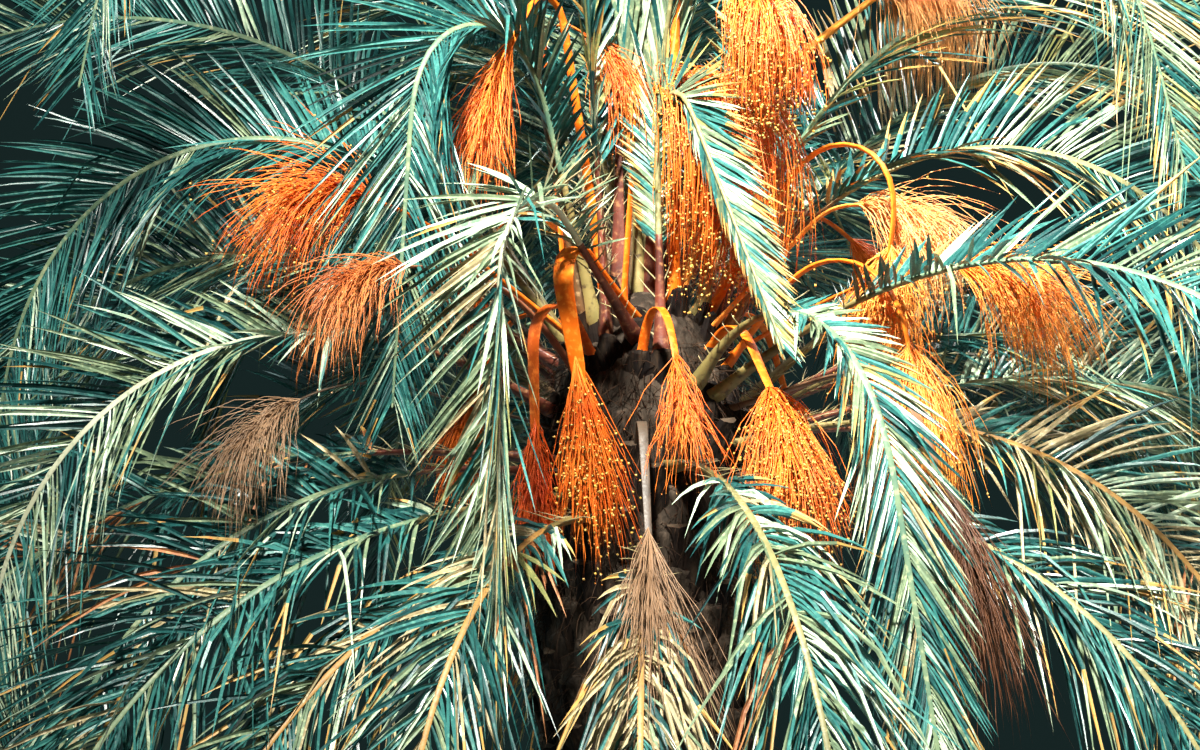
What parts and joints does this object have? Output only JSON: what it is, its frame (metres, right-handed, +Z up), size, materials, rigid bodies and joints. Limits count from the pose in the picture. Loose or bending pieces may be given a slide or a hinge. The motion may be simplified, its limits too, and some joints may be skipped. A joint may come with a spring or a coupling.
{
  "type": "date palm tree",
  "caption": "Feather-leaved date palm with a short thick scarred trunk, a full crown of arching fronds and hanging orange flower bunches.",
  "frame": {"origin": "middle of the flat foot of the trunk, at ground level", "axes": "+Z up along the trunk; -Y towards the side that the picture shows, +X to that viewer's right"},
  "size_m": [5.6833, 4.4844, 4.9855],
  "materials": {
    "bark": "matt, fibrous, with diamond stubs of old fronds",
    "leaf": "blue-green feather leaflets on a pale rib, some tips yellowed",
    "orange_bunch": "vivid orange flat stalk and thin strands with small pale fruit",
    "dry_bunch": "dry brown stalk and strands"
  },
  "bodies": {
    "root": {"trunk": "bark", "back_fronds_01": "leaf", "back_fronds_03": "leaf", "back_fronds_04": "leaf", "back_fronds_05": "leaf", "back_fronds_06": "leaf", "back_fronds_07": "leaf", "back_fronds_08": "leaf", "back_fronds_09": "leaf", "centre_left_upright": "leaf", "centre_upright": "leaf", "front_hook_foot": "leaf", "front_hook_tip": "leaf", "front_left": "leaf", "front_low": "leaf", "front_right": "leaf", "heart_hook_foot": "leaf", "heart_hook_tip": "leaf", "high_hook_foot": "leaf", "high_hook_tip": "leaf", "left_arch": "leaf", "left_back": "leaf", "left_bow": "leaf", "left_high_foot": "leaf", "left_high_tip": "leaf", "left_low": "leaf", "left_lower": "leaf", "left_skirt": "leaf", "right_arch": "leaf", "right_back": "leaf", "right_high_foot": "leaf", "right_high_tip": "leaf", "right_hook_foot": "leaf", "right_hook_tip": "leaf", "right_level": "leaf", "right_low": "leaf", "right_rise": "leaf", "right_skirt": "leaf", "young_fronds": "leaf", "back_bunches_left": "orange_bunch", "back_bunches_right": "orange_bunch", "bunch_centre": "orange_bunch", "bunch_dry_front": "dry_bunch", "bunch_dry_left": "dry_bunch", "bunch_dry_right": "dry_bunch", "bunch_front": "orange_bunch", "bunch_front_left": "orange_bunch", "bunch_high_right": "orange_bunch", "bunch_left": "orange_bunch", "bunch_left_high": "orange_bunch", "bunch_right_arch": "orange_bunch", "bunch_right_front": "orange_bunch", "bunch_right_level": "orange_bunch", "bunch_right_low": "orange_bunch", "bunch_tall": "orange_bunch", "bunch_top": "orange_bunch", "bunch_top_left": "orange_bunch", "bunch_top_right": "orange_bunch", "bunch_yellow": "orange_bunch"}
  },
  "joints": []
}
